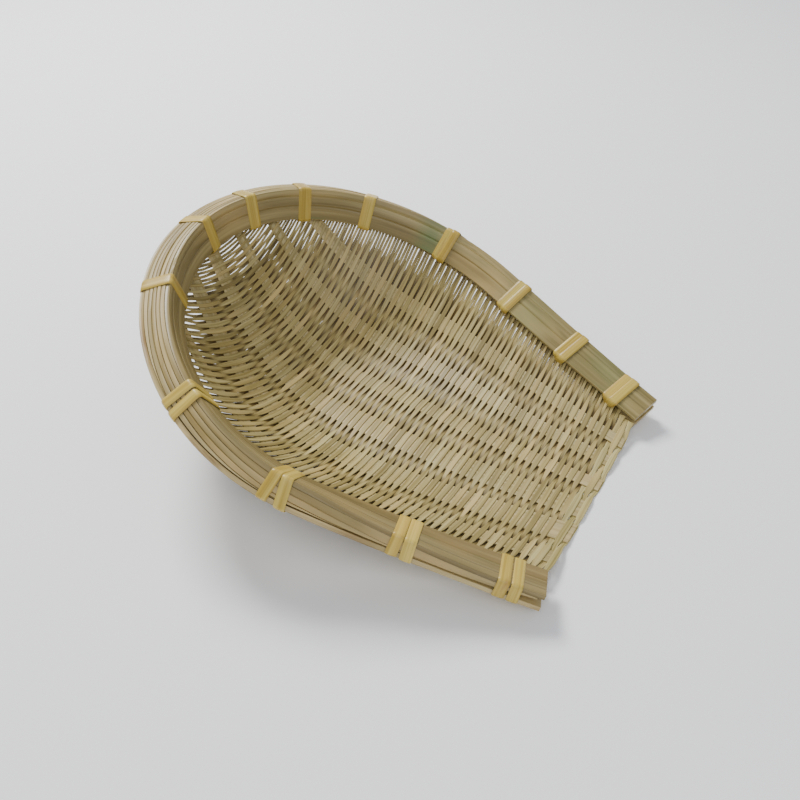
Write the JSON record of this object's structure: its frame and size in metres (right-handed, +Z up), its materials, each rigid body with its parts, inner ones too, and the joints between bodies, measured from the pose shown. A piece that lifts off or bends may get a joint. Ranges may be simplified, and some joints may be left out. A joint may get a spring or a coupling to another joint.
{
  "type": "winnowing basket",
  "caption": "Scoop-shaped bamboo winnowing basket with an open mouth: a woven mat held in a U-shaped laminated hoop by split-bamboo lashings.",
  "frame": {"origin": "centre of the bounding box's footprint, on the surface the basket stands on", "axes": "+Z up from the floor, -Y towards the open mouth, +Y towards the closed back, X from arm to arm"},
  "size_m": [0.2184, 0.2442, 0.0837],
  "materials": {
    "bamboo_weave": "dry split bamboo, light straw with a faint sheen",
    "bamboo_mouth_weft": "dry split bamboo, slightly paler",
    "bamboo_inner_slat": "scraped bamboo slat, olive tan, satin",
    "bamboo_outer_slat": "scraped bamboo slat, light tan with brown scars",
    "bamboo_filler": "split bamboo, edge grain showing",
    "bamboo_lashing": "pale yellow split bamboo skin, satin"
  },
  "bodies": {
    "root": {"woven_mat": "bamboo_weave", "inner_hoop": "bamboo_inner_slat", "outer_hoop": "bamboo_outer_slat", "filler_slat_1": "bamboo_filler", "filler_slat_2": "bamboo_filler", "filler_slat_3": "bamboo_filler", "filler_slat_4": "bamboo_filler", "filler_slat_5": "bamboo_filler", "lashing_01": "bamboo_lashing", "lashing_02": "bamboo_lashing", "lashing_03": "bamboo_lashing", "lashing_04": "bamboo_lashing", "lashing_05": "bamboo_lashing", "lashing_06": "bamboo_lashing", "lashing_07": "bamboo_lashing", "lashing_08": "bamboo_lashing", "lashing_09": "bamboo_lashing", "lashing_10": "bamboo_lashing", "lashing_11": "bamboo_lashing", "lashing_12": "bamboo_lashing", "lashing_13": "bamboo_lashing", "mouth_weft_1": "bamboo_mouth_weft", "mouth_weft_2": "bamboo_mouth_weft", "mouth_weft_3": "bamboo_mouth_weft"}
  },
  "joints": []
}
